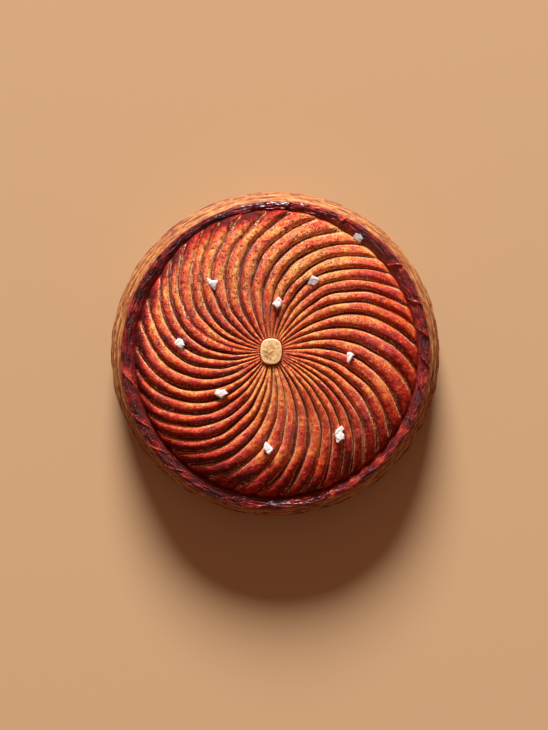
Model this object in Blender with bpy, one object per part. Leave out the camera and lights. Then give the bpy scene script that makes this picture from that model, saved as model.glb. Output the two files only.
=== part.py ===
# A whole king cake, baked and not yet cut: puff pastry 200 mm across, its domed lid
# scored with a swirl of forty rounded ridges. A pleated rim stands round the lid, the
# side shows the layers of the dough, nine grains of coarse salt are baked on, and a
# hazelnut is pressed into a shallow socket in the middle of the swirl.
#
# Metres, +Z up, with the origin at the middle of the flat underside. The sizes below
# are in millimetres. Directions round the cake are clockwise turns, seen from above,
# from +X: 0 is +X (right), 90 is -Y (front), 180 is -X (left), 270 is +Y (back).

import itertools
import math
import random

import bmesh
import bpy
from mathutils import Matrix, Vector, noise
from mathutils.bvhtree import BVHTree

MM = 0.001

# Side and base
WIDEST_RADIUS = 99.2
WIDEST_HEIGHT = 13.0
BASE_RADIUS = 95.4
SIDE_ROWS = 11
LAYER_DEPTH = 0.75  # how far a layer's edge stands out or lies back

# Rim: a low roll that slopes up from the lid's foot and rounds over to the side
RIM_RADIUS = 91.05
RIM_HEIGHT = 33.3
RIM_CREST_IN = 1.0  # the crest's inner edge, inside RIM_RADIUS
RIM_CREST_OUT = 1.4  # and its outer edge, which has begun to fall
RIM_CREST_FALL = 0.4
RIM_LIP_OUT = 2.0
RIM_LIP_FALL = 1.5
CHANNEL_WIDTH = 0.5
CHANNEL_HEIGHT = 30.7
PLEATS = 23
PLEAT_HEIGHT = 1.5

# Lid
LID_RADIUS = 85.0
LID_EDGE_HEIGHT = 31.4
LID_RISE = 12.5
DIMPLE_DEPTH = 2.0  # where the nut was pressed in
DIMPLE_RADIUS = 17.0
LID_ROWS = 14

# Swirl
RIDGES = 40
COLUMNS_PER_RIDGE = 4
COLUMN_SHARES = (0.0, 0.24, 0.5, 0.76)  # groove, shoulder, crest, shoulder
COLUMN_LEVELS = (0.0, 0.74, 1.0, 0.74)
COLUMNS = RIDGES * COLUMNS_PER_RIDGE
RIDGE_DEPTH = 2.4
SWIRL_TURN = math.radians(42.5)  # from the middle to the edge of the lid
SWIRL_EVEN_AT = 0.64  # share of the lid's radius where the grooves were spaced out
SWIRL_STRONGEST_AT = math.radians(200)
SPACING_START = math.radians(-1.2)
# The hand that scored the lid spaced its cuts unevenly: order, size and place of each wave.
SPACING_WAVES = ((1, 5.8, -27), (2, 1.3, -41), (3, 1.3, 83), (4, 2.1, 59))

# Hazelnut and its socket
NUT_PLACE = Vector((-2.4, 1.1, 0.0))
NUT_HALF_WIDTH = 6.55
NUT_HALF_LENGTH = 7.85
NUT_SQUARENESS = 2.6
NUT_PROUD = 1.9
NUT_DEPTH = 4.4
NUT_SIDES = 28
NUT_RINGS = 14
GAP = 0.3

# Salt: place (x, y), width along X, length along Y and how far it stands proud
SALT_GRAINS = (
    ((-37.1, 41.6), 6.4, 7.8, 2.6),
    ((1.7, 30.3), 6.1, 7.2, 2.8),
    ((23.2, 43.5), 7.2, 7.2, 1.9),
    ((50.3, 70.1), 5.8, 6.1, 2.2),
    ((-57.2, 5.8), 6.5, 6.5, 2.4),
    ((44.9, -2.6), 4.5, 6.8, 2.4),
    ((-32.1, -24.1), 8.2, 5.5, 2.6),
    ((38.6, -48.5), 6.1, 10.3, 2.4),
    ((-4.0, -57.0), 5.9, 7.2, 2.6),
)
SALT_CHIPPING = 0.45  # how far a corner of the block may be broken back
SALT_SUNK = 2.6
SALT_SEED = 7

CRUST_COLOR = (0.42, 0.07, 0.025, 1.0)
SIDE_COLOR = (0.50, 0.24, 0.08, 1.0)
SALT_COLOR = (0.86, 0.80, 0.76, 1.0)
NUT_COLOR = (0.80, 0.56, 0.30, 1.0)


def clear_scene():
    for thing in list(bpy.data.objects):
        bpy.data.objects.remove(thing, do_unlink=True)


def baked_material(name, color, roughness):
    material = bpy.data.materials.new(name)
    material.use_nodes = True
    material.diffuse_color = color
    shader = material.node_tree.nodes["Principled BSDF"]
    shader.inputs["Base Color"].default_value = color
    shader.inputs["Roughness"].default_value = roughness
    shader.inputs["Metallic"].default_value = 0.0
    return material


def smooth_step(low, high, value):
    share = min(max((value - low) / (high - low), 0.0), 1.0)
    return share * share * (3 - 2 * share)


def at_turn(radius, turn, height):
    return Vector((radius * math.cos(turn), -radius * math.sin(turn), height))


# The outlines, each a little out of round


def lid_edge(turn):
    return LID_RADIUS + 1.5 * math.cos(turn - math.radians(70))


def rim_radius(turn):
    shifted = 1.0 * math.cos(turn - math.radians(77))
    return RIM_RADIUS + shifted + 0.7 * math.cos(2 * turn + math.radians(72))


def side_radius(turn, height):
    """The side leans out from the base to its widest, then in again under the rim."""
    widest = WIDEST_RADIUS + 0.7 * math.cos(2 * turn)
    if height < WIDEST_HEIGHT:
        lean = 1 - height / WIDEST_HEIGHT
        return widest - (WIDEST_RADIUS - BASE_RADIUS) * lean**2
    lean = (height - WIDEST_HEIGHT) / (RIM_HEIGHT - RIM_LIP_FALL - WIDEST_HEIGHT)
    return widest + (rim_radius(turn) + RIM_LIP_OUT - widest) * lean**2


# The scored lid


def groove_turn(index):
    """Direction of a groove where the spacing was set, growing by a full turn over all the ridges."""
    even = math.tau * index / RIDGES
    waves = sum(
        math.radians(size) * math.cos(order * even - math.radians(place))
        for order, size, place in SPACING_WAVES
    )
    return SPACING_START + even + waves


def column_turn(column):
    ridge, place = divmod(column, COLUMNS_PER_RIDGE)
    start, end = groove_turn(ridge), groove_turn(ridge + 1)
    return start + (end - start) * COLUMN_SHARES[place]


def swirl(turn, share):
    """How far a ridge has swept round clockwise at this share of the lid's radius."""
    strength = 1 + 0.18 * math.cos(turn - SWIRL_STRONGEST_AT)
    return SWIRL_TURN * strength * (share**2 - SWIRL_EVEN_AT**2)


def lid_height(share):
    """A broad dome that falls steeply at its border and dips towards the nut."""
    dome = LID_RISE * max(1 - share**4.5, 0.0) ** 0.6
    dimple = DIMPLE_DEPTH * math.exp(-((share * LID_RADIUS / DIMPLE_RADIUS) ** 2))
    return LID_EDGE_HEIGHT + dome - dimple


def ridge_depth(share):
    """Shallow at the nut, where the ridges crowd together, and fading out at the lid's border."""
    grown = 0.25 + 0.75 * smooth_step(0.08, 0.5, share)
    faded = 1 - 0.75 * smooth_step(0.92, 1.0, share)
    return RIDGE_DEPTH * grown * faded


def lid_point(column, share):
    turn = column_turn(column)
    radius = share * lid_edge(turn + swirl(turn, 1.0))
    point = at_turn(radius, turn + swirl(turn, share), lid_height(share))
    point += NUT_PLACE * (1 - share**4)
    place = column % COLUMNS_PER_RIDGE
    unevenness = noise.noise(point / 11.0)
    point.z -= ridge_depth(share) * (1 - COLUMN_LEVELS[place]) * (1 + 0.25 * unevenness)
    point.z += 0.5 * unevenness * smooth_step(0.15, 0.4, share)
    return point


# The nut's outline, shared with its socket


def nut_outline(turn, margin):
    across = abs(math.cos(turn)) / (NUT_HALF_WIDTH + margin)
    along = abs(math.sin(turn)) / (NUT_HALF_LENGTH + margin)
    return (across**NUT_SQUARENESS + along**NUT_SQUARENESS) ** (-1 / NUT_SQUARENESS)


def mouth_height():
    return lid_height(NUT_HALF_WIDTH / LID_RADIUS)


def socket_point(column, height):
    turn = column_turn(column)
    turn += swirl(turn, NUT_HALF_LENGTH / LID_RADIUS)
    return NUT_PLACE + at_turn(nut_outline(turn, GAP + 0.05), turn, height)


# Rim and side


def pleat(turn):
    """The rim was pinched in slanting pleats: each climbs slowly and ends in a short step."""
    place = turn * PLEATS / math.tau + 0.6 * math.sin(3 * turn)
    return PLEAT_HEIGHT * (place % 1.0) ** 0.6


def rim_point(column, level):
    """Level 0 is the channel at the lid's foot, 1 the inner slope, 2 and 3 the crest's two edges."""
    turn = column_turn(column)
    turn += swirl(turn, 1.0)
    inner, crest = lid_edge(turn), rim_radius(turn)
    lift = pleat(turn) - PLEAT_HEIGHT / 2
    if level == 0:
        return at_turn(inner + CHANNEL_WIDTH, turn, CHANNEL_HEIGHT)
    if level == 1:
        radius = (inner + CHANNEL_WIDTH + crest - RIM_CREST_IN) / 2
        height = CHANNEL_HEIGHT + 0.7 * (RIM_HEIGHT - CHANNEL_HEIGHT)
        return at_turn(radius - 0.5 * lift, turn, height + 0.6 * lift)
    if level == 2:
        return at_turn(crest - RIM_CREST_IN, turn, RIM_HEIGHT + 0.7 * lift)
    return at_turn(crest + RIM_CREST_OUT, turn, RIM_HEIGHT - RIM_CREST_FALL + 0.4 * lift)


def side_point(column, row):
    turn = column_turn(column)
    turn += swirl(turn, 1.0)
    height = (RIM_HEIGHT - RIM_LIP_FALL) * (1 - row / SIDE_ROWS)
    radius = side_radius(turn, height)
    if 0 < row < SIDE_ROWS:
        layer = LAYER_DEPTH * (1 if row % 2 else -1)
        raggedness = noise.noise(Vector((5 * math.cos(turn), 5 * math.sin(turn), row * 3.1)))
        radius += layer * (0.7 + raggedness)
        height += 0.9 * raggedness
    return at_turn(radius, turn, height)


# The pastry is a plain turned profile, whose rows are then moved to their real shape


def lid_shares(mouth):
    """Where the lid's rows lie: one close round the nut, and closer together where the lid falls."""
    shares = [mouth + 0.02]
    for step in range(1, LID_ROWS + 1):
        even = step / LID_ROWS
        shares.append(mouth + (1 - mouth) * even * (1.5 - 0.5 * even))
    return shares


def turned_profile():
    """Each row's rule, what it is called with, and its radius and height on the plain turned cake."""
    floor = mouth_height() - NUT_DEPTH - GAP
    mouth = NUT_HALF_LENGTH / LID_RADIUS
    rows = [(None, floor, 0.0, floor), (socket_point, floor, NUT_HALF_WIDTH, floor)]
    rows.append((socket_point, mouth_height(), NUT_HALF_WIDTH, mouth_height()))
    for share in lid_shares(mouth):
        rows.append((lid_point, share, share * LID_RADIUS, lid_height(share)))
    for level in range(4):
        radius = LID_RADIUS + 1 + 2 * level
        rows.append((rim_point, level, radius, CHANNEL_HEIGHT + 2 * level))
    for row in range(SIDE_ROWS + 1):
        height = (RIM_HEIGHT - RIM_LIP_FALL) * (1 - row / SIDE_ROWS)
        rows.append((side_point, row, side_radius(0.0, height), height))
    rows.append((None, 0.0, 0.0, 0.0))
    return rows


def place_row(vert, rows, row):
    rule, value, _, height = rows[row]
    if rule is None:
        centre = NUT_PLACE if height > 0 else Vector()
        vert.co = (centre + Vector((0, 0, height))) * MM
        return
    turn = -math.atan2(vert.co.y, vert.co.x)
    column = round(turn / math.tau * COLUMNS) % COLUMNS
    vert.co = rule(column, value) * MM


def color_faces(bm, row_layer, rows):
    side_start = len(rows) - SIDE_ROWS - 2
    for face in bm.faces:
        face.smooth = True
        if max(vert[row_layer] for vert in face.verts) > side_start:
            face.material_index = 1


def pastry_object():
    rows = turned_profile()
    bm = bmesh.new()
    row_layer = bm.verts.layers.int.new("row")
    profile = []
    for row, (_, _, radius, height) in enumerate(rows):
        vert = bm.verts.new((radius * MM, 0.0, height * MM))
        vert[row_layer] = row
        profile.append(vert)
    edges = [bm.edges.new(pair) for pair in zip(profile, profile[1:])]
    bmesh.ops.spin(
        bm,
        geom=profile + edges,
        cent=(0, 0, 0),
        axis=(0, 0, 1),
        angle=math.tau,
        steps=COLUMNS,
        use_merge=True,
    )
    bmesh.ops.remove_doubles(bm, verts=bm.verts, dist=1e-6)
    for vert in bm.verts:
        place_row(vert, rows, vert[row_layer])
    bmesh.ops.recalc_face_normals(bm, faces=bm.faces)
    color_faces(bm, row_layer, rows)
    pastry = finished_object("pastry", bm)
    pastry.data.materials.append(baked_material("glazed crust", CRUST_COLOR, 0.35))
    pastry.data.materials.append(baked_material("layered side", SIDE_COLOR, 0.7))
    pastry.data.materials.append(baked_material("salt", SALT_COLOR, 0.25))
    return pastry


def finished_object(name, bm):
    mesh = bpy.data.meshes.new(name)
    bm.to_mesh(mesh)
    bm.free()
    made = bpy.data.objects.new(name, mesh)
    bpy.context.scene.collection.objects.link(made)
    return made


# Salt


def salt_grain(index, ground, chance):
    """A broken grain: a small block, turned a little, with two chipped points at each corner."""
    place, width, length, proud = SALT_GRAINS[index]
    bm = bmesh.new()
    for corner in itertools.product((-1, 1), repeat=3):
        for _ in range(2):
            bm.verts.new([side * (1 - SALT_CHIPPING * chance.random()) for side in corner])
    hull = bmesh.ops.convex_hull(bm, input=bm.verts)
    bmesh.ops.delete(bm, geom=hull["geom_interior"], context="VERTS")
    turned = Matrix.Rotation(chance.uniform(0, math.tau), 3, "Z")
    tilted = Matrix.Rotation(chance.uniform(-0.3, 0.3), 3, "X")
    bmesh.ops.rotate(bm, cent=(0, 0, 0), matrix=tilted @ turned, verts=bm.verts)
    span = [
        max(vert.co[axis] for vert in bm.verts) - min(vert.co[axis] for vert in bm.verts)
        for axis in range(3)
    ]
    size = Vector((width / span[0], length / span[1], (proud + SALT_SUNK) / span[2]))
    bmesh.ops.scale(bm, vec=size * MM, verts=bm.verts)
    high = max(vert.co.z for vert in bm.verts)
    start = Vector((place[0] * MM, place[1] * MM, 0.1))
    landing = ground.ray_cast(start, Vector((0, 0, -1)))[0]
    bmesh.ops.translate(bm, vec=landing + Vector((0, 0, proud * MM - high)), verts=bm.verts)
    bmesh.ops.recalc_face_normals(bm, faces=bm.faces)
    grain = finished_object(f"salt_{index + 1}", bm)
    grain.data.materials.append(bpy.data.materials["salt"])
    return grain


def fuse_salt(pastry):
    """Fuses all the grains to the pastry with one union, then drops the loose copies."""
    chance = random.Random(SALT_SEED)
    ground = BVHTree.FromObject(pastry, bpy.context.evaluated_depsgraph_get())
    grains = bpy.data.collections.new("salt grains")
    bpy.context.scene.collection.children.link(grains)
    for index in range(len(SALT_GRAINS)):
        grain = salt_grain(index, ground, chance)
        bpy.context.scene.collection.objects.unlink(grain)
        grains.objects.link(grain)
    union = pastry.modifiers.new("salt", "BOOLEAN")
    union.operation = "UNION"
    union.operand_type = "COLLECTION"
    union.collection = grains
    union.solver = "EXACT"
    union.material_mode = "TRANSFER"
    bpy.context.view_layer.objects.active = pastry
    bpy.ops.object.modifier_apply(modifier=union.name)
    for grain in list(grains.objects):
        bpy.data.objects.remove(grain, do_unlink=True)
    bpy.data.collections.remove(grains)


# Hazelnut


def nut_object():
    """A kernel with a low domed top, a rounded-square outline and a flat on its underside."""
    bm = bmesh.new()
    bmesh.ops.create_uvsphere(bm, u_segments=NUT_SIDES, v_segments=NUT_RINGS, radius=1.0)
    for vert in bm.verts:
        across = math.hypot(vert.co.x, vert.co.y)
        turn = math.atan2(vert.co.y, vert.co.x)
        outline = nut_outline(turn, 0.0) * across ** 0.75
        deep = NUT_PROUD if vert.co.z > 0 else NUT_DEPTH * 1.25
        vert.co = Vector((outline * math.cos(turn), outline * math.sin(turn), deep * vert.co.z)) * MM
    underside = bmesh.ops.bisect_plane(
        bm,
        geom=bm.verts[:] + bm.edges[:] + bm.faces[:],
        plane_co=(0, 0, -NUT_DEPTH * MM),
        plane_no=(0, 0, -1),
        clear_outer=True,
    )
    rim = [part for part in underside["geom_cut"] if isinstance(part, bmesh.types.BMEdge)]
    bmesh.ops.contextual_create(bm, geom=rim)
    bmesh.ops.recalc_face_normals(bm, faces=bm.faces)
    for face in bm.faces:
        face.smooth = True
    centre = (NUT_PLACE + Vector((0, 0, mouth_height()))) * MM
    bmesh.ops.transform(bm, matrix=Matrix.Translation(centre), verts=bm.verts)
    nut = finished_object("nut", bm)
    nut.data.materials.append(baked_material("roasted nut", NUT_COLOR, 0.45))
    return nut


clear_scene()
cake = pastry_object()
fuse_salt(cake)
nut_object()
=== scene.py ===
# A king cake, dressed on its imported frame: a scored and egg-washed lid, a pleated glazed rim and a
# flaky side stand for the pastry solid, with nine broken grains of salt, and a roasted hazelnut
# kernel stands for the nut. Lengths are in millimetres unless a note says otherwise, and turns go
# clockwise, seen from above, from +X.

import math
import random

import bmesh
import bpy
from mathutils import Matrix, Vector, noise
from mathutils.bvhtree import BVHTree


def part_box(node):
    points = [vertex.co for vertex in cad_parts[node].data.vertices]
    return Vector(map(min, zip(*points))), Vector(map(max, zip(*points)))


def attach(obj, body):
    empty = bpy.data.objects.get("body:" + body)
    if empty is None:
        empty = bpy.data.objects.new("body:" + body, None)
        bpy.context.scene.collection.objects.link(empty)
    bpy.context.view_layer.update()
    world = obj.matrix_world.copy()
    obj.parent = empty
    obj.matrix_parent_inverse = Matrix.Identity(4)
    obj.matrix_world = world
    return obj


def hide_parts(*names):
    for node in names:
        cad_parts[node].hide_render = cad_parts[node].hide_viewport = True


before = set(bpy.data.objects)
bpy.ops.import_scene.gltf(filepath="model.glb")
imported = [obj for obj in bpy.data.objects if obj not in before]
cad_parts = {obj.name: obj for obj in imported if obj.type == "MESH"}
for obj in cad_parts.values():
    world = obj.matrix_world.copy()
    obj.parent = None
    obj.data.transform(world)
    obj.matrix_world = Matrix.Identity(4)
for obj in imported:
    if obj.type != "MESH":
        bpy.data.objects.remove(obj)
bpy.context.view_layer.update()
mm = 0.001
nutLow, nutHigh = (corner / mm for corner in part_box("nut"))
nutMiddle = (nutLow + nutHigh) / 2
nutPlace = Vector((nutMiddle.x, nutMiddle.y, 0.0))
print("frame loaded")


# small helpers


def hexColour(code):
    parts = [int(code[i : i + 2], 16) / 255 for i in (1, 3, 5)]
    return tuple(p / 12.92 if p <= 0.04045 else ((p + 0.055) / 1.055) ** 2.4 for p in parts) + (1.0,)


def addNode(tree, kind, settings=(), links=()):
    node = tree.nodes.new(kind)
    for name, value in dict(settings).items():
        if name == "stops":
            ramp = node.color_ramp.elements
            while len(ramp) < len(value):
                ramp.new(0.5)
            for stop, (place, colour) in zip(ramp, value):
                stop.position = place
                stop.color = hexColour(colour)
        elif isinstance(name, int) or name in node.inputs:
            node.inputs[name].default_value = value
        else:
            setattr(node, name, value)
    for name, source in dict(links).items():
        tree.links.new(source, node.inputs[name])
    return node


def newMaterial(name):
    material = bpy.data.materials.new(name)
    material.use_nodes = True
    tree = material.node_tree
    return material, tree, tree.nodes["Principled BSDF"]


def setSockets(node, values):
    for name, value in values.items():
        node.inputs[name].default_value = value


def perMm(size):  # a pattern's scale, from the size of one grain of it in millimetres
    return 1 / (size * mm)


def smoothStep(low, high, value):
    share = min(max((value - low) / (high - low), 0.0), 1.0)
    return share * share * (3 - 2 * share)


def mix(first, second, share):
    return first + (second - first) * share


def near(turn, place, low, high):  # 1 at a place round the cake, in degrees, and 0 well away from it
    return smoothStep(low, high, math.cos(turn - math.radians(place)))


def atTurn(radius, turn, height):
    return Vector((radius * math.cos(turn), -radius * math.sin(turn), height))


noiseCircle = 92.0  # the radius of the circle that the next function reads the noise on


def aroundNoise(turn, size, layer):  # noise that closes on itself after a full turn
    reach = noiseCircle / size
    return noise.noise(Vector((reach * math.cos(turn), reach * math.sin(turn), layer)))


# the cake's shape, as the frame has it

cake = {
    "lidRadius": 85.0,
    "lidShift": (1.5, math.radians(70)),  # how far the lid lies off the middle, and towards where
    "lidEdgeHeight": 31.4,
    "lidRise": 12.5,
    "domePowers": (4.5, 0.6),
    "dimpleDepth": 2.0,
    "dimpleRadius": 17.0,
    "ridges": 40,
    "ridgeDepth": 2.4,
    "swirlTurn": math.radians(42.5),
    "swirlEvenAt": 0.64,
    "swirlSwing": 0.18,
    "swirlStrongestAt": math.radians(200),
    "spacingStart": math.radians(-1.2),
    # the cuts lie uneven: waves a turn, how many degrees, and where
    "spacingWaves": ((1, 5.8, -27), (2, 1.3, -41), (3, 1.3, 83), (4, 2.1, 59)),
    "channelHeight": 30.7,
    "rimRadius": 91.05,
    "rimShift": (1.0, math.radians(77)),
    "rimOval": (0.7, math.radians(72)),
    "rimHeight": 33.3,
    "rimLipOut": 2.0,
    "rimLipFall": 1.5,
    "pleats": 23,
    "pleatHeight": 1.5,
    "pleatPower": 0.6,
    "pleatWander": 0.6,
    "widestRadius": 99.2,
    "widestHeight": 13.0,
    "sideOval": 0.7,
    "baseRadius": 95.4,
    "layerGroups": 11,
    "layerDepth": 0.75,
    "nutPower": 2.6,  # seen from above, the kernel is between an oval and an oblong
}


def lidEdge(turn):
    shift, place = cake["lidShift"]
    return cake["lidRadius"] + shift * math.cos(turn - place)


def rimRadius(turn):
    shift, place = cake["rimShift"]
    oval, start = cake["rimOval"]
    return cake["rimRadius"] + shift * math.cos(turn - place) + oval * math.cos(2 * turn + start)


def sideRadius(turn, height):
    widest = cake["widestRadius"] + cake["sideOval"] * math.cos(2 * turn)
    if height < cake["widestHeight"]:
        lean = 1 - height / cake["widestHeight"]
        return widest - (cake["widestRadius"] - cake["baseRadius"]) * lean**2
    top = cake["rimHeight"] - cake["rimLipFall"]
    lean = (height - cake["widestHeight"]) / (top - cake["widestHeight"])
    return widest + (rimRadius(turn) + cake["rimLipOut"] - widest) * lean**2


def grooveTurn(index):
    even = math.tau * index / cake["ridges"]
    waves = sum(
        math.radians(size) * math.cos(order * even - math.radians(place))
        for order, size, place in cake["spacingWaves"]
    )
    return cake["spacingStart"] + even + waves


def swirl(turn, share):
    strength = 1 + cake["swirlSwing"] * math.cos(turn - cake["swirlStrongestAt"])
    return cake["swirlTurn"] * strength * (share**2 - cake["swirlEvenAt"] ** 2)


def lidHeight(share):
    flat, steep = cake["domePowers"]
    dome = cake["lidRise"] * max(1 - share**flat, 0.0) ** steep
    dimple = cake["dimpleDepth"] * math.exp(-((share * cake["lidRadius"] / cake["dimpleRadius"]) ** 2))
    return cake["lidEdgeHeight"] + dome - dimple


def pleatPlace(turn):  # counts the pleats: its fraction says how far along one of them a turn lies
    return turn * cake["pleats"] / math.tau + cake["pleatWander"] * math.sin(3 * turn)


def pleat(turn):
    return cake["pleatHeight"] * (pleatPlace(turn) % 1.0) ** cake["pleatPower"]


# meshes: a piece is spun from a plain profile, and then each vertex is moved to its place

perSector = 10  # columns in one step of the spin


def spunMesh(profile, columns, closed=False):  # each vertex keeps its place along the profile
    bm = bmesh.new()
    row = bm.verts.layers.int.new("row")
    line = []
    for number, (radius, height) in enumerate(profile):
        vert = bm.verts.new((radius * mm, 0.0, height * mm))
        vert[row] = number
        line.append(vert)
    pairs = list(zip(line, line[1:])) + ([(line[-1], line[0])] if closed else [])
    edges = [bm.edges.new(pair) for pair in pairs]
    bmesh.ops.spin(
        bm,
        geom=line + edges,
        cent=(0, 0, 0),
        axis=(0, 0, 1),
        angle=math.tau,
        steps=columns // perSector,
        use_merge=True,
    )
    bmesh.ops.remove_doubles(bm, verts=bm.verts, dist=1e-7)
    rings = [edge for edge in bm.edges if edge.verts[0][row] == edge.verts[1][row]]
    bmesh.ops.subdivide_edges(bm, edges=rings, cuts=perSector - 1)
    return bm, row


def columnOf(vert, columns):
    return round(-math.atan2(vert.co.y, vert.co.x) / math.tau * columns) % columns


def finishPiece(name, bm, materials, smooth=True):
    bmesh.ops.recalc_face_normals(bm, faces=bm.faces)
    for face in bm.faces:
        face.smooth = smooth
    mesh = bpy.data.meshes.new(name)
    bm.to_mesh(mesh)
    bm.free()
    for material in materials:
        mesh.materials.append(material)
    piece = bpy.data.objects.new(name, mesh)
    bpy.context.scene.collection.objects.link(piece)
    return piece


# what the materials share


def objectPlace(tree):
    return addNode(tree, "ShaderNodeTexCoord").outputs["Object"]


def attribute(tree, name, output="Fac"):
    return addNode(tree, "ShaderNodeAttribute", {"attribute_name": name}).outputs[output]


def noiseAt(tree, where, size, detail=2.0, roughness=0.5):
    settings = {"Scale": perMm(size), "Detail": detail, "Roughness": roughness}
    return addNode(tree, "ShaderNodeTexNoise", settings, {"Vector": where}).outputs["Fac"]


def calculate(tree, operation, *terms):  # each term is a number or another node's output
    settings, links = {"operation": operation}, {}
    for index, term in enumerate(terms):
        if isinstance(term, float):
            settings[index] = term
        else:
            links[index] = term
    return addNode(tree, "ShaderNodeMath", settings, links).outputs[0]


def vary(tree, value, patterns, strengths):  # value + strength * (pattern - 0.5), for each pattern
    for pattern, strength in zip(patterns, strengths):
        part = calculate(tree, "MULTIPLY_ADD", pattern, strength, -0.5 * strength)
        value = calculate(tree, "ADD", value, part)
    return value


def between(tree, value, low, high):
    settings = {"interpolation_type": "SMOOTHSTEP", "From Min": low, "From Max": high}
    return addNode(tree, "ShaderNodeMapRange", settings, {"Value": value}).outputs["Result"]


def remap(tree, value, span, goal):
    settings = {"From Min": span[0], "From Max": span[1], "To Min": goal[0], "To Max": goal[1]}
    return addNode(tree, "ShaderNodeMapRange", settings, {"Value": value}).outputs["Result"]


def blend(tree, share, first, second):  # the second colour is a hex code or another node's output
    settings, links = {"data_type": "RGBA"}, {0: share, 6: first}
    if isinstance(second, str):
        settings[7] = hexColour(second)
    else:
        links[7] = second
    return addNode(tree, "ShaderNodeMix", settings, links).outputs[2]


def ramp(tree, value, stops):
    return addNode(tree, "ShaderNodeValToRGB", {"stops": stops}, {"Fac": value}).outputs["Color"]


def addBump(tree, shader, relief, height, strength=1.0):
    settings = {"Strength": strength, "Distance": height * mm}
    bump = addNode(tree, "ShaderNodeBump", settings, {"Height": relief})
    tree.links.new(bump.outputs["Normal"], shader.inputs["Normal"])


# egg-washed puff pastry, baked dark: the wash burns crimson on the ridges and leaves the cuts golden

lidLook = {
    "grain": 0.85,  # the wash dried in droplets
    "blister": 2.7,
    "patch": 15.0,
    "fleck": 1.4,
    "fleckStrength": 0.8,
    "toneBy": (1.0, 1.0, 1.8),  # how much patch, blister and grain change the wash's tone
    "raggedBy": (0.5, 0.7, 1.3),  # and how ragged they make its edge
    "glaze": (
        (0.05, "#ecaa5a"),
        (0.24, "#e47a32"),
        (0.42, "#d84e22"),
        (0.62, "#c02a1e"),
        (0.82, "#901a14"),
        (1.00, "#58120e"),
    ),
    "dough": ((0.36, "#7a1c0a"), (0.48, "#c46a2c"), (0.60, "#f8d4a2")),
    # painted shade along the bottom of the cuts
    "cutShade": "#701607",
    "burntFleck": "#2c080a",
    "doughFrom": (0.79, 0.92),  # how far across from a ridge's crest, where 1 is the foot of its wall
    "cutShadeFrom": (0.95, 1.03),
    # over which span of the tone, painted shading included, these change, and from what to what: burnt
    # crust is dull
    "roughness": ((0.66, 0.9), (0.22, 0.6)),
    "shine": ((0.5, 0.75), (0.5, 0.15)),
    "softness": 0.2,
    "softDepths": (0.0022, 0.0005, 0.0002),  # in metres
    "bumpHeight": 0.9,
    "blisterHeight": 0.8,
}


def crustMaterial():
    material, tree, shader = newMaterial("eggWashedPuffPastry")
    where = objectPlace(tree)
    across, browning = attribute(tree, "across"), attribute(tree, "browning")
    grain = noiseAt(tree, where, lidLook["grain"], 4.0, 0.68)
    blister = noiseAt(tree, where, lidLook["blister"])
    patch = noiseAt(tree, where, lidLook["patch"])
    # how dark each spot is: the vertex tone with its painted light and shade, uneven browning, broad
    # patches and the wash's own droplets
    shadedTone = vary(tree, browning, (patch, blister, grain), lidLook["toneBy"])
    glaze = ramp(tree, shadedTone, lidLook["glaze"])
    # the cuts show bare dough, golden in broken lines down their walls, and painted shade as a deep red
    # along the bottom
    ragged = vary(tree, across, (patch, blister, grain), lidLook["raggedBy"])
    dough = ramp(tree, grain, lidLook["dough"])
    dough = blend(tree, between(tree, across, *lidLook["cutShadeFrom"]), dough, lidLook["cutShade"])
    colour = blend(tree, between(tree, ragged, *lidLook["doughFrom"]), glaze, dough)
    # burnt specks, most of them at the back left
    fleck = addNode(tree, "ShaderNodeTexVoronoi", {"Scale": perMm(lidLook["fleck"])}, {"Vector": where})
    sizes = {"From Min": 0.2, "From Max": 1.0, "To Min": 0.0}
    links = {"Value": fleck.outputs["Color"], "To Max": attribute(tree, "specks")}
    spotSize = addNode(tree, "ShaderNodeMapRange", sizes, links).outputs["Result"]
    isFleck = calculate(tree, "LESS_THAN", fleck.outputs["Distance"], spotSize)
    fleckShare = calculate(tree, "MULTIPLY", isFleck, lidLook["fleckStrength"])
    colour = blend(tree, fleckShare, colour, lidLook["burntFleck"])
    tree.links.new(colour, shader.inputs["Base Color"])
    tree.links.new(remap(tree, browning, *lidLook["roughness"]), shader.inputs["Roughness"])
    tree.links.new(remap(tree, browning, *lidLook["shine"]), shader.inputs["Specular IOR Level"])
    soft = {"Subsurface Weight": lidLook["softness"], "Subsurface Radius": lidLook["softDepths"]}
    setSockets(shader, soft)
    relief = calculate(tree, "MULTIPLY_ADD", blister, lidLook["blisterHeight"], grain)
    addBump(tree, shader, relief, lidLook["bumpHeight"])
    return material


# the scored lid: each ridge is a rounded bar between two flat-bottomed cuts

lid = {
    # where the columns of one ridge lie from cut to cut, close together down the cuts' walls
    "phases": (0.0, 0.055, 0.095, 0.125, 0.155, 0.19, 0.23, 0.28, 0.34, 0.42)
    + (0.5, 0.58, 0.66, 0.72, 0.77, 0.81, 0.845, 0.875, 0.905, 0.945),
    "rowGap": 0.8,
    "mouthRadius": 7.9,  # where the lid's first row lies, round the socket
    "socketRadius": 6.5,
    "socketRows": 4,
    "nutGap": 0.3,
    "skirt": ((0.4, 30.6), (0.3, 29.0), (-0.6, 27.0)),  # under the edge: how far out, and how high
    "overRim": 3.0,  # at the back the ridges run up onto the rim: how far out, and how far up
    "upRim": 1.2,
    "cutDepths": (0.85, 1.15),
    "cutWidths": (0.12, 0.26),  # shares of half a ridge
    "cutStarts": (0.12, 0.30),
    "missedCut": 23,  # the knife hardly marked this one on its inner half
    "wander": 0.025,  # how far the cuts stray, as a turn, and how far near the nut
    "wanderAtNut": 0.06,
    "swell": 0.5,
    "lipHeight": 0.30,  # the dough rose in ragged lips along the cuts
    "blisters": ((0.30, 2.9), (0.14, 1.3)),  # height and size
    "seed": 11,
}
perRidge = len(lid["phases"])
lidColumns = perRidge * cake["ridges"]
chance = random.Random(lid["seed"])
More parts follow.
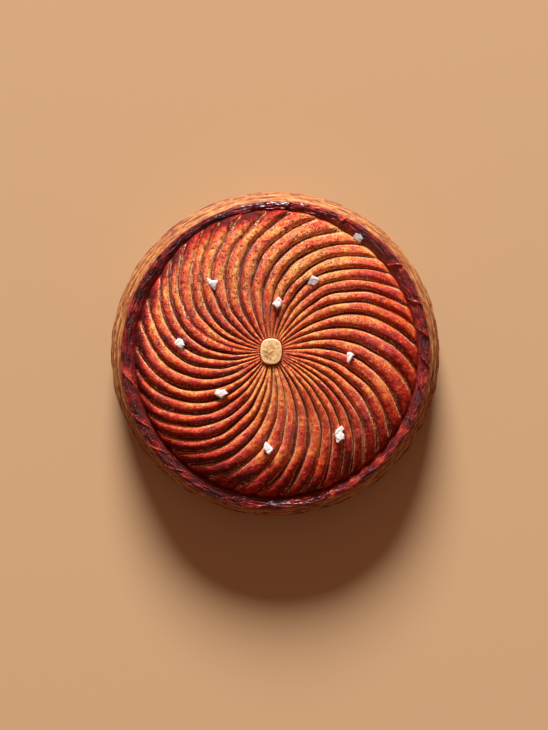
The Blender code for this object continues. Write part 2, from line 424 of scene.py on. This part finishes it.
cutDepth = [chance.uniform(*lid["cutDepths"]) for _ in range(cake["ridges"])]
cutWidth = [chance.uniform(*lid["cutWidths"]) for _ in range(cake["ridges"])]
# every other cut stops short of the nut, so the ridges join in pairs there
cutStart = [chance.uniform(*lid["cutStarts"]) if cut % 2 else 0.0 for cut in range(cake["ridges"])]


def ridgeDepth(share):
    grown = 0.36 + 0.64 * smoothStep(0.10, 0.48, share)
    faded = 1 - 0.35 * smoothStep(0.96, 1.0, share)
    return cake["ridgeDepth"] * grown * faded


def columnBase(number):
    ridge, place = divmod(number, perRidge)
    return mix(grooveTurn(ridge), grooveTurn(ridge + 1), lid["phases"][place])


# how far across from the ridge's crest, the surface's level there, and which cut is the nearest
def ridgeSection(number, share):
    ridge, place = divmod(number, perRidge)
    phase = lid["phases"][place]
    cut = ridge if phase < 0.5 else (ridge + 1) % cake["ridges"]
    width = cutWidth[cut] * (1 + 0.5 * noise.noise(Vector((share * 9, cut * 3.7, 0.0))))
    width *= 1 + 0.8 * (1 - smoothStep(0.1, 0.35, share))
    across = (phase - 0.5) * 2 / (1 - width)
    level = 1 - min(abs(across), 1.0) ** 3.0 - 0.24 * max(abs(across) - 1, 0.0)
    return across, level, cut


def cutShown(cut, share):
    if cut == lid["missedCut"]:
        return 0.2 + 0.8 * smoothStep(0.58, 0.78, share)
    return 0.2 + 0.8 * smoothStep(cutStart[cut] - 0.1, cutStart[cut], share)


def lidPoint(number, share):
    base = columnBase(number)
    x, y = math.cos(base), math.sin(base)
    stray = noise.noise(Vector((7 * x, 7 * y, 6 * share))) * smoothStep(0.1, 0.4, share)
    strayAtNut = noise.noise(Vector((4 * x, 4 * y, 8 * share))) * (1 - share) ** 4
    wander = lid["wander"] * stray + lid["wanderAtNut"] * strayAtNut
    outer = base + swirl(base, 1.0)
    onRim = near(outer, 258, 0.65, 1.0) * smoothStep(0.88, 1.0, share)
    radius = share * lidEdge(outer) + lid["overRim"] * onRim
    height = lidHeight(share) + lid["upRim"] * onRim
    point = atTurn(radius, base + wander + swirl(base, share), height)
    point += nutPlace * (1 - share**4)
    unevenness = noise.noise(point / 11.0)
    across, level, cut = ridgeSection(number, share)
    shown = cutShown(cut, share)
    depth = ridgeDepth(share) * cutDepth[cut] * shown
    point.z -= depth * (1 - level) * (1 + 0.25 * unevenness)
    point.z += lid["swell"] * unevenness * smoothStep(0.15, 0.4, share)
    lip = math.exp(-(((abs(across) - 0.82) / 0.08) ** 2)) * max(noise.noise(point / 1.1) + 0.25, 0.0)
    blisters = sum(size * noise.noise(point / wide) for size, wide in lid["blisters"])
    point.z += (blisters + lid["lipHeight"] * lip) * smoothStep(0.06, 0.2, share)
    return point, across * mix(0.4, 1.0, shown)


def nutOutline(turn, margin):
    half = (nutHigh - nutLow) / 2
    across = abs(math.cos(turn)) / (half.x + margin)
    along = abs(math.sin(turn)) / (half.y + margin)
    power = cake["nutPower"]
    return (across**power + along**power) ** (-1 / power)


def lidProfile(mouthShare):  # each row has its kind, its value, and a radius and a height for the spin
    mouth = lidHeight(mouthShare)
    floor = nutLow.z - lid["nutGap"]
    rows = [("pole", 0.0, 0.0, floor)]
    for step in range(lid["socketRows"] + 1):
        height = mix(floor, mouth, step / lid["socketRows"])
        rows.append(("socket", height, lid["socketRadius"], height))
    count = round((1 - mouthShare) * cake["lidRadius"] / lid["rowGap"])
    for step in range(1, count + 1):
        share = mix(mouthShare + 0.006, 1.0, step / count)
        rows.append(("lid", share, share * cake["lidRadius"], lidHeight(share)))
    for out, height in lid["skirt"]:
        rows.append(("skirt", out, cake["lidRadius"] + out, height))
    rows.append(("pole", 0.0, 0.0, lid["skirt"][-1][1]))
    return rows


def lidToneAt(turn, share):  # how dark the lid's tone is, from the nut at share 0 to the border at share 1, with painted shadow of the rim along the back edge
    border = smoothStep(0.70, 0.92, share)
    tone = 0.36 + 0.08 * smoothStep(0.25, 0.5, share) + 0.12 * border
    # darker at the left, the right and the front, and at the back left near the nut
    tone += (0.17 - 0.13 * border) * near(turn, 175, 0.0, 1.0)
    tone += (0.02 + 0.12 * border) * near(turn, 5, 0.0, 1.0)
    tone += (0.22 * border + 0.08 * smoothStep(0.66, 0.8, share)) * near(turn, 100, 0.5, 1.0)
    tone += 0.12 * smoothStep(0.4, 0.2, share) * near(turn, 222, 0.5, 1.0)
    # paler at the front left near the nut, and at the back
    tone -= 0.12 * smoothStep(0.5, 0.3, share) * near(turn, 125, 0.4, 1.0)
    tone -= 0.17 * smoothStep(0.3, 0.6, share) * near(turn, 255, -0.2, 1.0)
    tone -= 0.14 * border * near(turn, 258, 0.2, 1.0)
    # the very edge is darker at the back left and the back, burnt glaze with painted shadow of the rim,
    # and pale at the back right
    tone += 0.54 * smoothStep(0.88, 0.98, share) * near(turn, 216, 0.1, 0.8)
    tone += 0.14 * smoothStep(0.92, 0.99, share) * near(turn, 262, 0.6, 0.9)
    tone -= 0.30 * smoothStep(0.95, 0.99, share) * near(turn, 318, 0.6, 1.0)
    return tone


def specksAt(turn, share):  # how large the burnt specks are there, as a share of their spacing
    return 0.36 + 0.34 * near(turn, 245, 0.0, 0.9) * smoothStep(0.2, 0.5, share)


def litSideAt(turn):  # painted light and shade: how much paler the clockwise side of each ridge is painted than its other side, so that the side facing the light is the paler one
    return 0.10 - 0.22 * math.cos(turn)


def shadedWallAt(turn, place):  # painted shade: the wall of each cut that faces away from the light is painted dark red, with little golden dough
    wall = smoothStep(0.65, 0.85, abs(place)) * smoothStep(1.06, 0.98, abs(place))
    return smoothStep(0.0, 0.15, -place * litSideAt(turn)) * wall


def makeLid():
    mouthShare = lid["mouthRadius"] / cake["lidRadius"]
    rows = lidProfile(mouthShare)
    bm, row = spunMesh([(radius, height) for _, _, radius, height in rows], lidColumns)
    across = bm.verts.layers.float.new("across")
    browning = bm.verts.layers.float.new("browning")
    specks = bm.verts.layers.float.new("specks")
    for vert in bm.verts:
        kind, value, _, height = rows[vert[row]]
        if kind == "pole":
            vert.co = (nutPlace + Vector((0, 0, height))) * mm
            continue
        number = columnOf(vert, lidColumns)
        base = columnBase(number)
        if kind == "lid":
            point, place = lidPoint(number, value)
            place *= 1 - 0.10 * smoothStep(0.65, 0.85, value)  # the cuts turn finer and redder outwards
            turn = base + swirl(base, value)
            # painted light and shade: each ridge's side facing the light is painted paler, and the wall
            # of each cut in shade is painted dark red with little golden dough
            shadedWall = shadedWallAt(turn, place)
            vert[across] = mix(abs(place) - 0.2 * shadedWall, 0.3, smoothStep(0.98, 1.0, value))
            vert[browning] = lidToneAt(turn, value) - litSideAt(turn) * place + 0.25 * shadedWall
            vert[specks] = specksAt(turn, value)
        elif kind == "socket":
            turn = base + swirl(base, mouthShare)
            point = nutPlace + atTurn(nutOutline(turn, lid["nutGap"]), turn, value)
            vert[across] = 0.5
            vert[browning] = 0.6
        else:
            turn = base + swirl(base, 1.0)
            point = atTurn(lidEdge(turn) + value, turn, height)
            vert[across] = 0.4
            vert[browning] = 0.9
        vert.co = point * mm
    return finishPiece("scoredLid", bm, [crustMaterial()])


scoredLid = makeLid()
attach(scoredLid, "root")
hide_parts("pastry")
print("lid made")


# the rim: thick egg wash baked to a dark, wet-looking burgundy in slanting, wrinkled pleats

rimLook = {
    "wrinkle": 0.8,
    "stretch": 3.0,  # the wrinkles run along the rim
    "pit": 1.0,
    "patch": 6.0,
    "toneBy": (1.9, 0.8, 0.9),  # how much patch, wrinkle and pit change the tone
    "glaze": (
        (0.10, "#360a10"),
        (0.36, "#560e14"),
        (0.58, "#7c1618"),
        (0.80, "#aa2822"),
        (1.00, "#c2502e"),
    ),
    "lip": "#a82420",
    "lipFrom": (0.78, 0.92),  # shares of the way out over the rim
    "foot": "#6c140e",
    "footFrom": (0.30, 0.08),
    "lighterAt": 60,  # lighter and redder at the front right
    "darkerAt": (124, 218),  # and darker at the front left and the back left
    "bumpHeight": 1.0,
    "wrinkleHeight": 0.6,
    "sockets": {
        "Roughness": 0.24,
        "Specular IOR Level": 0.35,
        "Specular Tint": hexColour("#ffccc2"),  # it shines warm, through the egg
        "Coat Weight": 0.5,
        "Coat Roughness": 0.1,
    },
}


def glazeMaterial():
    material, tree, shader = newMaterial("burntEggGlaze")
    where, flow = objectPlace(tree), attribute(tree, "flow", "Vector")
    outer, crease = attribute(tree, "outer"), attribute(tree, "crease")
    wrinkle = noiseAt(tree, flow, rimLook["wrinkle"], 3.0, 0.6)
    pit = noiseAt(tree, where, rimLook["pit"], 3.0, 0.65)
    patch = noiseAt(tree, where, rimLook["patch"])
    # the crease tone includes painted highlight along the raised folds
    tone = vary(tree, crease, (patch, wrinkle, pit), rimLook["toneBy"])
    colour = ramp(tree, tone, rimLook["glaze"])
    colour = blend(tree, between(tree, outer, *rimLook["lipFrom"]), colour, rimLook["lip"])
    ragged = vary(tree, outer, (wrinkle,), (0.8,))
    colour = blend(tree, between(tree, ragged, *rimLook["footFrom"]), colour, rimLook["foot"])
    tree.links.new(colour, shader.inputs["Base Color"])
    setSockets(shader, rimLook["sockets"])
    relief = calculate(tree, "MULTIPLY_ADD", wrinkle, rimLook["wrinkleHeight"], pit)
    addBump(tree, shader, relief, rimLook["bumpHeight"])
    return material


rim = {
    "columns": 1200,
    "rows": 48,
    "crestAt": 0.62,
    "footGap": 0.3,
    "roundOver": math.radians(100),  # how far the lip turns over
    "slant": (math.radians(8.0), math.radians(4.0), math.radians(120)),  # its mean, its swing, where most
    "creasedAt": (160, 330),  # the pleats show most at these places
    "creaseHeight": 0.75,
    # height, size along the rim, and how fast they change across it
    "wrinkles": ((0.50, 7.0, 9.0), (0.30, 2.8, 15.0), (0.12, 1.3, 22.0)),
    "underside": ((0.4, 29.4), (-6.0, 28.0)),  # how far out from the crest, and how high
}


def slanted(turn, along):
    mean, swing, place = rim["slant"]
    return turn - (mean + swing * math.cos(turn - place)) * along


def creaseAt(turn, along):
    off = pleatPlace(slanted(turn, along)) % 1.0
    strength = max(near(turn, place, 0.70, 0.97) for place in rim["creasedAt"])
    sharp = math.exp(-((off / 0.10) ** 2)) + math.exp(-(((1 - off) / 0.04) ** 2))
    return sharp * (0.3 + 0.7 * strength)


def rimPoint(turn, along):  # a low roll: the inner slope, then round over the crest to the outer lip
    foot, crest = lidEdge(turn) + rim["footGap"], rimRadius(turn)
    if along < rim["crestAt"]:
        share = along / rim["crestAt"]
        radius = mix(foot, crest, share)
        height = mix(cake["channelHeight"], cake["rimHeight"], 1 - (1 - share) ** 1.8)
    else:
        lean = (along - rim["crestAt"]) / (1 - rim["crestAt"]) * rim["roundOver"]
        radius = crest + (cake["rimLipOut"] + 0.1) * math.sin(lean)
        height = cake["rimHeight"] - cake["rimLipFall"] * (1 - math.cos(lean))
    body = smoothStep(0.0, 0.30, along) * (1 - smoothStep(0.88, 1.0, along))
    lift = pleat(slanted(turn, along)) - cake["pleatHeight"] / 2
    wrinkles = sum(size * aroundNoise(turn, wide, along * pace) for size, wide, pace in rim["wrinkles"])
    height += (0.60 * lift + wrinkles + rim["creaseHeight"] * creaseAt(turn, along) - 0.2) * body
    radius += (0.3 * aroundNoise(turn, 4.0, 5.0 + along * 6.0) - 0.35 * lift) * body
    return atTurn(radius, turn, height)


def glazeTone(turn):
    lighter = near(turn, rimLook["lighterAt"], 0.5, 1.0)
    darker = sum(near(turn, place, 0.6, 1.0) for place in rimLook["darkerAt"])
    return 0.14 * lighter - 0.18 * darker


def makeRim():
    rows = [("skin", step / rim["rows"], 0.0) for step in range(rim["rows"] + 1)]
    rows += [("hidden", out, height) for out, height in rim["underside"]]
    ring = [(cake["lidRadius"] + 0.1 * number, cake["channelHeight"]) for number in range(len(rows))]
    bm, row = spunMesh(ring, rim["columns"], closed=True)
    outer = bm.verts.layers.float.new("outer")
    crease = bm.verts.layers.float.new("crease")
    flow = bm.verts.layers.float_vector.new("flow")
    for vert in bm.verts:
        kind, value, height = rows[vert[row]]
        turn = columnOf(vert, rim["columns"]) / rim["columns"] * math.tau
        if kind == "skin":
            vert.co = rimPoint(turn, value) * mm
            vert[outer] = value
            # lighter along the raised creases: exposed dough, with painted highlight where the folds
            # catch the light
            vert[crease] = 0.45 + 0.5 * creaseAt(turn, value) + glazeTone(turn)
            vert[flow] = atTurn(rimRadius(turn) / rimLook["stretch"], turn, 9.0 * value) * mm
        else:
            vert.co = atTurn(rimRadius(turn) + value, turn, height) * mm
    return finishPiece("glazedRim", bm, [glazeMaterial()])


glazedRim = makeRim()
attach(glazedRim, "root")
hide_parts("pastry")
print("rim made")


# the side: unglazed leaves of dough, baked golden brown, with darker toasted edges and painted shade in
# the gaps between the leaves

sideLook = {
    "fleck": 0.8,
    "stretch": 7.0,  # the flecks run along the leaves
    "leaves": (
        (0.30, "#44120c"),
        (0.42, "#843818"),
        (0.50, "#a8602a"),
        (0.58, "#b87a3c"),
        (0.70, "#d09a58"),
    ),
    # painted shade in the gaps between the leaves
    "gap": "#4c1a0c",
    "roughness": 0.72,
    "bumpHeight": 0.6,
}


def leavesMaterial():
    material, tree, shader = newMaterial("bakedDoughLeaves")
    flow = attribute(tree, "flow", "Vector")
    gap, toast = attribute(tree, "gap"), attribute(tree, "toast")
    fleck = noiseAt(tree, flow, sideLook["fleck"], 5.0, 0.7)
    colour = ramp(tree, calculate(tree, "ADD", fleck, toast), sideLook["leaves"])
    # painted shade where a leaf lies in the gap
    colour = blend(tree, gap, colour, sideLook["gap"])
    tree.links.new(colour, shader.inputs["Base Color"])
    setSockets(shader, {"Roughness": sideLook["roughness"]})
    addBump(tree, shader, fleck, sideLook["bumpHeight"])
    return material


side = {
    "columns": 1000,
    "leaves": 20,
    # down one leaf: the share of its thickness, how far out, and how much painted shade it gets for lying
    # in the gap
    "leafShape": ((0.0, -0.55, 0.72), (0.22, 0.35, 0.1), (0.55, 0.42, 0.0), (0.86, 0.1, 0.15)),
    "top": 31.8,
    "raggedness": 0.55,
    "wobble": 0.5,
    "inside": ((0.0, 26.0), (84.0, 26.0), (89.5, 30.6)),  # the hidden top, under the lid and the rim
}


def leafPoint(turn, leaf, share, out):
    thickness = side["top"] / side["leaves"]
    middle = math.sin(math.pi * (leaf + share) / side["leaves"])
    wobble = side["wobble"] * aroundNoise(turn, 30.0, leaf * 0.35) * middle
    height = side["top"] - (leaf + share) * thickness + wobble
    group = (1 - height / side["top"]) * cake["layerGroups"]
    bulge = -cake["layerDepth"] * math.cos(math.pi * group) * (0.55 + aroundNoise(turn, 18.0, group))
    ragged = aroundNoise(turn, 9.0, 40.0 + leaf * 3.7)
    ragged += 0.35 * aroundNoise(turn, 2.6, 90.0 + leaf * 5.3)
    radius = sideRadius(turn, max(height, 0.0)) + 0.7 * bulge
    radius += (side["raggedness"] * ragged + out) * smoothStep(0.0, 1.5, height)
    return atTurn(radius, turn, max(height, 0.0)), ragged


def makeSide():
    rows = [("hidden", None, radius, height) for radius, height in side["inside"]]
    for leaf in range(side["leaves"]):
        rows += [("leaf", (leaf, *shape), cake["baseRadius"], None) for shape in side["leafShape"]]
    rows += [("foot", None, cake["baseRadius"], 0.0), ("hidden", None, 0.0, 0.0)]
    stack = [(radius, -number) for number, (_, _, radius, _) in enumerate(rows)]
    bm, row = spunMesh(stack, side["columns"])
    gap = bm.verts.layers.float.new("gap")
    toast = bm.verts.layers.float.new("toast")
    flow = bm.verts.layers.float_vector.new("flow")
    for vert in bm.verts:
        kind, leaf, radius, height = rows[vert[row]]
        turn = columnOf(vert, side["columns"]) / side["columns"] * math.tau
        if kind == "leaf":
            point, ragged = leafPoint(turn, *leaf[:3])
            vert.co = point * mm
            vert[gap] = leaf[3]
            layers = math.sin(1.9 * leaf[0] + 2.5 * aroundNoise(turn, 40.0, 3.0))
            vert[toast] = 0.005 - 0.12 * ragged + 0.06 * layers
            vert[flow] = atTurn(cake["widestRadius"] / sideLook["stretch"], turn, point.z) * mm
        else:
            vert.co = atTurn(radius, turn, height) * mm
    return finishPiece("flakySide", bm, [leavesMaterial()])


flakySide = makeSide()
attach(flakySide, "root")
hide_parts("pastry")
print("side made")


# coarse rock salt, broken: cloudy white grains, two of them clearer

saltLook = {
    "kinds": (  # name, pale and dark colour, and how clear it is
        ("whiteRockSalt", "#fcf4ee", "#e4d6d2", 0.05),
        ("cloudyRockSalt", "#fcf0ec", "#e0d0ce", 0.12),
        ("clearRockSalt", "#faf0ec", "#dccecc", 0.5),
    ),
    "cloud": 1.6,
    "bumpHeight": 0.2,
    "bumpStrength": 0.7,
    "sockets": {
        "Roughness": 0.25,
        "IOR": 1.54,
        "Subsurface Weight": 0.6,
        "Subsurface Radius": (0.003, 0.0024, 0.0022),  # in metres
    },
}
salt = {
    # each grain: place x and y, how far it stands proud, its kind, and its outline seen from above
    "grains": (
        (-37.1, 41.6, 2.5, 1,
            (-3.9, 3.9, -0.4, 1.8, 2.8, 2.1, 3.0, 0.2, 1.1, -3.9, -1.2, -1.9, -3.3, 0.2)),
        (1.7, 30.3, 2.7, 0,
            (0.5, 3.3, 2.3, 1.2, 1.7, -2.1, -0.4, -4.0, -3.5, -0.9, -2.1, 0.6)),
        (23.2, 43.5, 1.8, 2,
            (-1.2, 3.3, 3.6, 0.6, 2.8, -1.3, -0.2, -3.6, -3.9, -1.9, -2.3, 1.4)),
        (50.3, 70.1, 2.0, 2,
            (-3.7, -0.3, -1.8, 2.3, 1.3, 1.6, 2.5, -1.1, 0.7, -4.0, -1.8, -2.1)),
        (-57.2, 5.8, 2.3, 1,
            (-0.8, 3.3, 1.9, 2.5, 3.2, -0.9, 1.7, -3.8, -2.5, -1.1, -2.9, 0.2)),
        (44.9, -2.6, 2.2, 0,
            (-2.0, 2.9, -0.4, 3.5, 2.1, 1.8, 0.2, -1.5, -1.0, -3.6, -2.0, -2.5, -2.3, 1.0)),
        (-32.1, -24.1, 2.4, 0,
            (-3.9, 0.2, -2.7, 2.7, 0.2, 2.3, 1.7, 2.9, 4.0, 0.2, 0.0, -2.6, -3.1, -1.1)),
        (38.6, -48.5, 2.3, 0,
            (1.1, 5.2, 2.6, 3.3, 1.5, 1.6, 2.6, -0.2, 2.6, -2.5, 0.7, -3.4)
            + (-1.0, -5.1, -2.0, -4.4, -2.3, -1.7, -3.3, 0.2, -2.3, 2.9)),
        (-4.0, -57.0, 2.5, 0,
            (-1.6, 4.4, 2.6, 0.6, 2.5, -0.9, 0.5, -3.4, -1.2, -2.5, -2.9, 0.0, -2.7, 2.5)),
    ),
    "sunk": 1.8,
    "stepAt": 0.75,  # a share of its height, and how far the broken top is then stepped in
    "stepIn": 0.7,
    "tilt": 0.12,
    "unevenness": 0.25,
    "chipping": 0.22,
    "seed": 5,
}


def saltMaterial(name, pale, dark, clear):
    material, tree, shader = newMaterial(name)
    cloud = noiseAt(tree, objectPlace(tree), saltLook["cloud"], 3.0, 0.6)
    tree.links.new(ramp(tree, cloud, ((0.36, dark), (0.55, pale))), shader.inputs["Base Color"])
    setSockets(shader, saltLook["sockets"])
    setSockets(shader, {"Transmission Weight": clear})
    addBump(tree, shader, cloud, saltLook["bumpHeight"], saltLook["bumpStrength"])
    return material


def saltGrain(corners, proud, chance):  # a slab of the outline, stepped in towards a tilted broken top
    grain = bmesh.new()
    bottom = [grain.verts.new((x, y, -salt["sunk"])) for x, y in zip(corners[::2], corners[1::2])]
    face = grain.faces.new(bottom)
    for share, inset in ((salt["stepAt"], 0.0), (1.0, salt["stepIn"])):
        if inset:
            bmesh.ops.inset_region(grain, faces=[face], thickness=inset, use_even_offset=True)
            face.normal_update()
        else:
            made = bmesh.ops.extrude_face_region(grain, geom=[face])["geom"]
            face = next(part for part in made if isinstance(part, bmesh.types.BMFace))
        for vert in face.verts:
            tilt = salt["tilt"] * vert.co.x + chance.uniform(-salt["unevenness"], salt["unevenness"])
            vert.co.z = (proud + tilt) * share
    bmesh.ops.triangulate(grain, faces=grain.faces)
    bmesh.ops.subdivide_edges(grain, edges=grain.edges[:], cuts=2, use_grid_fill=True)
    for vert in grain.verts:
        vert.co += noise.noise_vector(vert.co / 1.2 + Vector(corners[:3])) * salt["chipping"]
    bmesh.ops.recalc_face_normals(grain, faces=grain.faces)
    return grain


def makeSalt(ground):
    chance = random.Random(salt["seed"])
    noise.seed_set(salt["seed"])  # or else the chipping differs on every run
    bm = bmesh.new()
    for x, y, proud, kind, corners in salt["grains"]:
        falls = [tree.ray_cast(Vector((x * mm, y * mm, 0.1)), Vector((0, 0, -1)))[0] for tree in ground]
        hit = max((point for point in falls if point), key=lambda point: point.z)
        grain = saltGrain(corners, proud, chance)
        grain.transform(Matrix.Translation(hit) @ Matrix.Scale(mm, 4))
        spare = bpy.data.meshes.new("spare")
        grain.to_mesh(spare)
        grain.free()
        before = len(bm.faces)
        bm.from_mesh(spare)
        bpy.data.meshes.remove(spare)
        bm.faces.ensure_lookup_table()
        for face in bm.faces[before:]:
            face.material_index = kind
    looks = [saltMaterial(*kind) for kind in saltLook["kinds"]]
    return finishPiece("saltGrains", bm, looks, smooth=False)


bpy.context.view_layer.update()
evaluated = bpy.context.evaluated_depsgraph_get()
saltGrains = makeSalt([BVHTree.FromObject(piece, evaluated) for piece in (scoredLid, glazedRim)])
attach(saltGrains, "root")
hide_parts("pastry")
print("salt made")


# the hazelnut: a blanched kernel, pressed in and roasted to cream and tan

nutLook = {
    "mottle": 1.6,
    "flesh": ((0.34, "#cc9c60"), (0.50, "#e4bc84"), (0.66, "#f4d298")),
    "border": "#eec698",
    "bruise": "#8a5428",
    "bumpHeight": 0.4,
    "bumpStrength": 0.7,
    "sockets": {
        "Roughness": 0.45,
        "Subsurface Weight": 0.8,
        "Subsurface Radius": (0.004, 0.003, 0.002),  # in metres
    },
}
nut = {
    "sides": 96,
    "rings": 64,
    "mouth": lidHeight(6.55 / cake["lidRadius"]),  # how high the lid stands at the kernel's wall
    "flatness": 36,
    "slack": 0.05,
    "dent": (-0.9, -2.2, 2.1),  # its place on the kernel, and its radius
    "dentDepth": 0.35,
    # brown specks in and round the dent: place and strength
    "bruises": (
        (-3.2, -2.6, 1.2),
        (-2.2, -3.2, 1.0),
        (-0.4, -4.2, 1.1),
        (0.1, 4.6, 0.6),
        (0.9, -3.0, 0.6),
        (-2.9, -1.0, 0.5),
    ),
    "bruiseRadius": 0.7,
}


def nutMaterial():
    material, tree, shader = newMaterial("roastedHazelnut")
    bruise, border = attribute(tree, "bruise"), attribute(tree, "border")
    mottle = noiseAt(tree, objectPlace(tree), nutLook["mottle"], 4.0)
    colour = blend(tree, border, ramp(tree, mottle, nutLook["flesh"]), nutLook["border"])
    colour = blend(tree, bruise, colour, nutLook["bruise"])
    tree.links.new(colour, shader.inputs["Base Color"])
    setSockets(shader, nutLook["sockets"])
    addBump(tree, shader, mottle, nutLook["bumpHeight"], nutLook["bumpStrength"])
    return material


def bruiseAt(spot):
    marks = [
        size * math.exp(-(((spot - Vector((x, y))).length / nut["bruiseRadius"]) ** 2))
        for x, y, size in nut["bruises"]
    ]
    return max(marks)


def makeNut():  # a kernel with a broad, nearly flat top that has a shallow dent
    bm = bmesh.new()
    bmesh.ops.create_uvsphere(bm, u_segments=nut["sides"], v_segments=nut["rings"], radius=1.0)
    bruise = bm.verts.layers.float.new("bruise")
    border = bm.verts.layers.float.new("border")
    proud, deep = nutHigh.z - nut["mouth"], nut["mouth"] - nutLow.z
    for vert in bm.verts:
        isTop = vert.co.z > 0
        turn = math.atan2(vert.co.y, vert.co.x)
        share = math.hypot(vert.co.x, vert.co.y) ** 0.75
        outline = nutOutline(turn, -nut["slack"]) * share
        if isTop:
            flat = (1 - min(share, 1.0) ** nut["flatness"]) ** 0.5
            height = proud * (0.08 * (1 - share**2) + 0.92 * flat)
        else:
            height = deep * 1.25 * vert.co.z  # the plane below cuts off what is too deep
        point = Vector((outline * math.cos(turn), outline * math.sin(turn), height))
        if isTop:
            spot = point.xy
            x, y, reach = nut["dent"]
            hollow = math.exp(-(((spot - Vector((x, y))).length / reach) ** 2))
            point.z -= nut["dentDepth"] * hollow * (1 - share**4)
            rough = 0.16 * noise.noise(point / 1.6) + 0.20 * hollow * noise.noise(point / 0.7)
            point.z += rough * (1 - share**6)
            vert[bruise] = min(0.75 * bruiseAt(spot) + 0.20 * hollow, 0.85)
            vert[border] = smoothStep(0.70, 0.94, share)
        vert.co = (nutPlace + Vector((0, 0, nut["mouth"])) + point) * mm
    under = bmesh.ops.bisect_plane(
        bm,
        geom=bm.verts[:] + bm.edges[:] + bm.faces[:],
        plane_co=(0, 0, nutLow.z * mm),
        plane_no=(0, 0, -1),
        clear_outer=True,
    )
    edges = [part for part in under["geom_cut"] if isinstance(part, bmesh.types.BMEdge)]
    bmesh.ops.contextual_create(bm, geom=edges)
    return finishPiece("hazelnutKernel", bm, [nutMaterial()])


hazelnut = makeNut()
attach(hazelnut, "root")
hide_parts("nut")
print("nut made")


# studio: a plain pale floor, one soft light low at the back, and a warm weak fill

studio = {  # lengths are in metres here, but the camera's lens and sensor are in millimetres
    "floor": "#c7a27a",
    "floorSize": 14.0,
    "floorDrop": 0.0002,
    "keyPower": 1991.0,
    "keyWide": 4.06,
    "keyTall": 2.47,
    "keyDistance": 9.0,
    "keyElevation": math.radians(22.3),
    "keyFromLeft": math.radians(4.2),
    "fill": (0.2235, 0.115, 0.080),
    "backdrop": "#d8ae84",
    "cameraHeight": 1.0705,
    "cameraAside": (-0.0007, -0.0069),
    "lens": 85.0,
    "sensor": 36.0,
}


def makeFloor():
    bm = bmesh.new()
    bmesh.ops.create_grid(bm, x_segments=1, y_segments=1, size=studio["floorSize"] / 2)
    bmesh.ops.translate(bm, vec=(0, 0, -studio["floorDrop"]), verts=bm.verts)
    paper, _, shader = newMaterial("matPaper")
    look = {"Base Color": hexColour(studio["floor"]), "Roughness": 0.9, "Specular IOR Level": 0.1}
    setSockets(shader, look)
    floor = finishPiece("floor", bm, [paper])


def makeKeyLight():
    key = bpy.data.lights.new("softKey", "AREA")
    key.shape = "ELLIPSE"
    key.size = studio["keyWide"]
    key.size_y = studio["keyTall"]
    key.energy = studio["keyPower"]
    level = studio["keyDistance"] * math.cos(studio["keyElevation"])
    height = studio["keyDistance"] * math.sin(studio["keyElevation"])
    aside = studio["keyFromLeft"]
    towards = Vector((-level * math.sin(aside), level * math.cos(aside), height))
    holder = bpy.data.objects.new("softKey", key)
    holder.location = towards
    holder.rotation_euler = (-towards).to_track_quat("-Z", "Y").to_euler()
    bpy.context.scene.collection.objects.link(holder)


def makeFill():
    world = bpy.data.worlds.new("studioAir")
    bpy.context.scene.world = world
    world.use_nodes = True
    tree = world.node_tree
    fill = tree.nodes["Background"]
    setSockets(fill, {"Color": (*studio["fill"], 1.0)})
    seen = addNode(tree, "ShaderNodeBackground", {"Color": hexColour(studio["backdrop"])})
    path = addNode(tree, "ShaderNodeLightPath")
    links = {0: path.outputs["Is Camera Ray"], 1: fill.outputs[0], 2: seen.outputs[0]}
    both = addNode(tree, "ShaderNodeMixShader", (), links)
    tree.links.new(both.outputs[0], tree.nodes["World Output"].inputs["Surface"])


def makeCamera():
    lens = bpy.data.cameras.new("overhead")
    lens.lens = studio["lens"]
    lens.sensor_width = studio["sensor"]
    camera = bpy.data.objects.new("overhead", lens)
    camera.location = (*studio["cameraAside"], studio["cameraHeight"])
    bpy.context.scene.collection.objects.link(camera)
    bpy.context.scene.camera = camera
    bpy.context.scene.view_settings.view_transform = "Standard"


makeFloor()
makeKeyLight()
makeFill()
makeCamera()
print("studio made")
